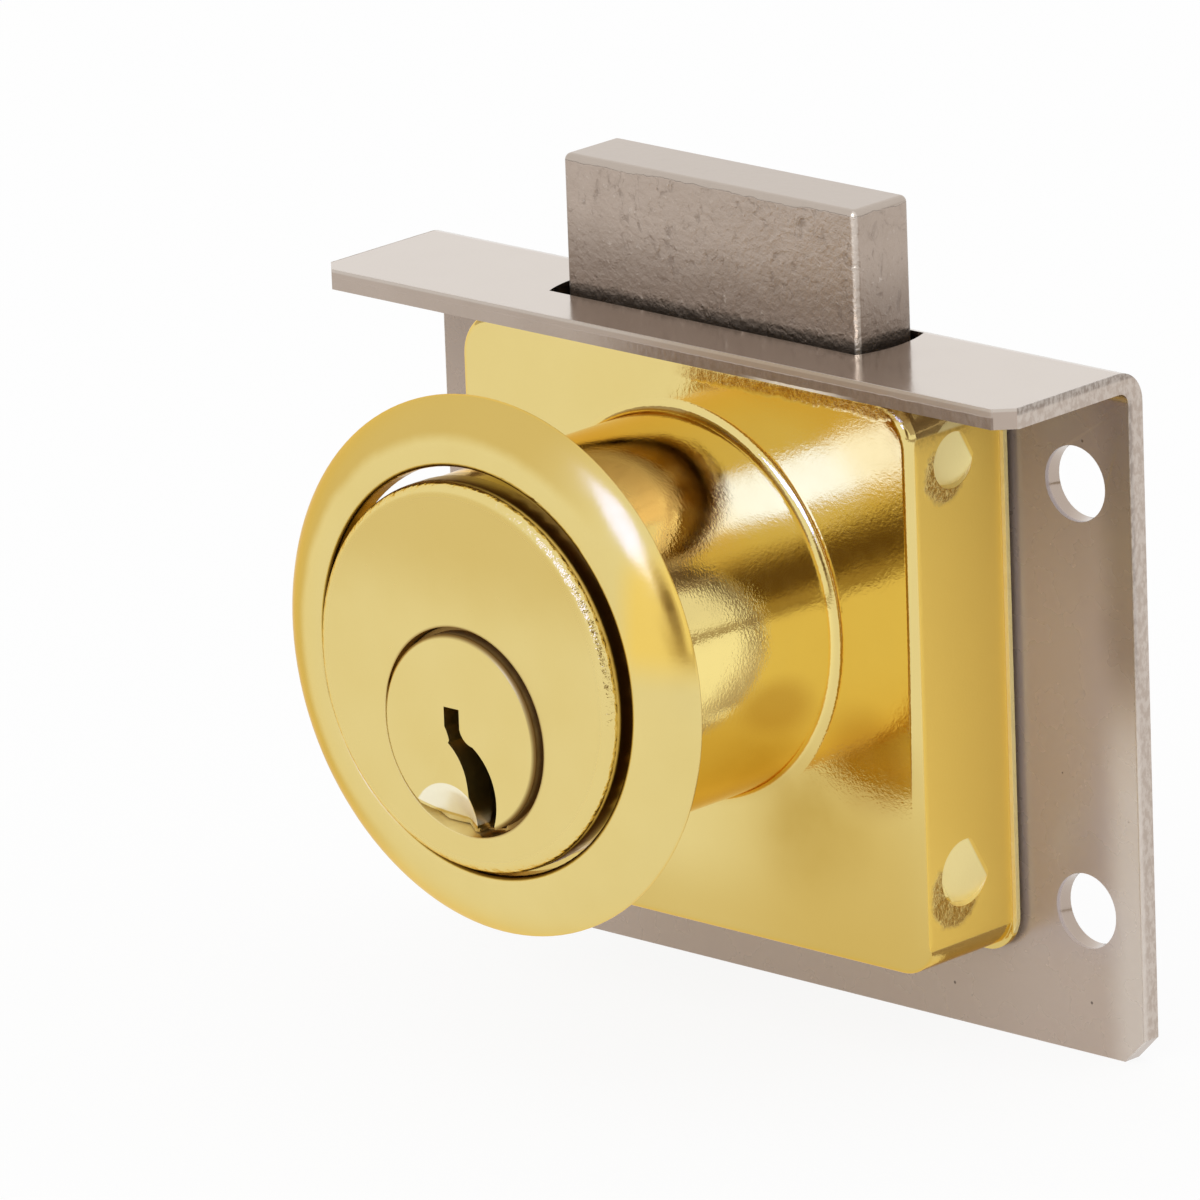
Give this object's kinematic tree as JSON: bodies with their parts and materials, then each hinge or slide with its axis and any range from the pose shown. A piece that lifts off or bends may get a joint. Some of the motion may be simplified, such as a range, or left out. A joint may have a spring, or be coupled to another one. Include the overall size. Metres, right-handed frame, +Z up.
{
  "type": "cabinet lock",
  "caption": "Half-mortise cabinet lock: bent back plate, brass-plated case and barrel, pin tumbler plug, loose rosette and a bolt that rises through the flange.",
  "frame": {"origin": "centre of the four screw holes, in the front face of the back plate, which lies against the wood", "axes": "+X to the right seen from the key side, +Y into the cabinet through the back plate, +Z up along the bolt's throw"},
  "size_m": [0.057, 0.031, 0.0528],
  "materials": {
    "nickel_plate": "nickel plated, satin gloss",
    "plated_case": "brass plated casting, polished",
    "brass_face": "satin brass",
    "rosette_brass": "drawn brass, polished",
    "cast_bolt": "nickel plated casting, rough",
    "spring_steel": "bright spring steel",
    "inner_steel": "zinc plated, dull",
    "inner_brass": "turned brass"
  },
  "bodies": {
    "root": {"back_plate": "nickel_plate", "guide_frame": "inner_steel", "case": "plated_case", "cylinder_body": "brass_face", "cylinder_ring": "spring_steel", "pin_chamber_cover": "inner_brass", "pin_spring_1": "spring_steel", "pin_spring_2": "spring_steel", "pin_spring_3": "spring_steel", "pin_spring_4": "spring_steel", "pin_spring_5": "spring_steel"},
    "plug_group": {"plug": "brass_face", "plug_clip": "spring_steel", "cam": "inner_steel", "cam_screw": "inner_steel"},
    "bolt_body": {"bolt": "cast_bolt"},
    "rosette_ring": {"rosette": "rosette_brass"},
    "key_pin_body_1": {"key_pin_1": "inner_brass"},
    "driver_pin_body_1": {"driver_pin_1": "inner_brass"},
    "key_pin_body_2": {"key_pin_2": "inner_brass"},
    "driver_pin_body_2": {"driver_pin_2": "inner_brass"},
    "key_pin_body_3": {"key_pin_3": "inner_brass"},
    "driver_pin_body_3": {"driver_pin_3": "inner_brass"},
    "key_pin_body_4": {"key_pin_4": "inner_brass"},
    "driver_pin_body_4": {"driver_pin_4": "inner_brass"},
    "key_pin_body_5": {"key_pin_5": "inner_brass"},
    "driver_pin_body_5": {"driver_pin_5": "inner_brass"}
  },
  "joints": [
    {"name": "plug_turn", "type": "hinge", "parent": "root", "child": "plug_group", "pos_m": [0, -0.0296, 0.0007], "axis": [0, 1, 0], "range_deg": [0, 90]},
    {"name": "bolt_slide", "type": "slide", "parent": "root", "child": "bolt_body", "axis": [0, 0, -1], "range_m": [0, 0.0087]},
    {"name": "rosette_slide", "type": "slide", "parent": "root", "child": "rosette_ring", "axis": [0, 1, 0], "range_m": [-0.004, 0.0146]},
    {"name": "key_pin_lift_1", "type": "slide", "parent": "plug_group", "child": "key_pin_body_1", "axis": [0, 0, 1], "range_m": [0, 0.0014]},
    {"name": "key_pin_lift_2", "type": "slide", "parent": "plug_group", "child": "key_pin_body_2", "axis": [0, 0, 1], "range_m": [0, 0.002]},
    {"name": "key_pin_lift_3", "type": "slide", "parent": "plug_group", "child": "key_pin_body_3", "axis": [0, 0, 1], "range_m": [0, 0.0008]},
    {"name": "key_pin_lift_4", "type": "slide", "parent": "plug_group", "child": "key_pin_body_4", "axis": [0, 0, 1], "range_m": [0, 0.0017]},
    {"name": "key_pin_lift_5", "type": "slide", "parent": "plug_group", "child": "key_pin_body_5", "axis": [0, 0, 1], "range_m": [0, 0.0023]},
    {"name": "driver_pin_lift_1", "type": "slide", "parent": "root", "child": "driver_pin_body_1", "axis": [0, 0, 1], "range_m": [0, 0.0016], "stiffness_N_per_m": 50, "springref_m": -0.003, "deforming": ["pin_spring_1"]},
    {"name": "driver_pin_lift_2", "type": "slide", "parent": "root", "child": "driver_pin_body_2", "axis": [0, 0, 1], "range_m": [0, 0.0016], "stiffness_N_per_m": 50, "springref_m": -0.003, "deforming": ["pin_spring_2"]},
    {"name": "driver_pin_lift_3", "type": "slide", "parent": "root", "child": "driver_pin_body_3", "axis": [0, 0, 1], "range_m": [0, 0.0016], "stiffness_N_per_m": 50, "springref_m": -0.003, "deforming": ["pin_spring_3"]},
    {"name": "driver_pin_lift_4", "type": "slide", "parent": "root", "child": "driver_pin_body_4", "axis": [0, 0, 1], "range_m": [0, 0.0016], "stiffness_N_per_m": 50, "springref_m": -0.003, "deforming": ["pin_spring_4"]},
    {"name": "driver_pin_lift_5", "type": "slide", "parent": "root", "child": "driver_pin_body_5", "axis": [0, 0, 1], "range_m": [0, 0.0016], "stiffness_N_per_m": 50, "springref_m": -0.003, "deforming": ["pin_spring_5"]}
  ],
  "couplings": [
    {"joint": "plug_turn", "follows": "bolt_slide", "rad_per_m": 180.6}
  ]
}
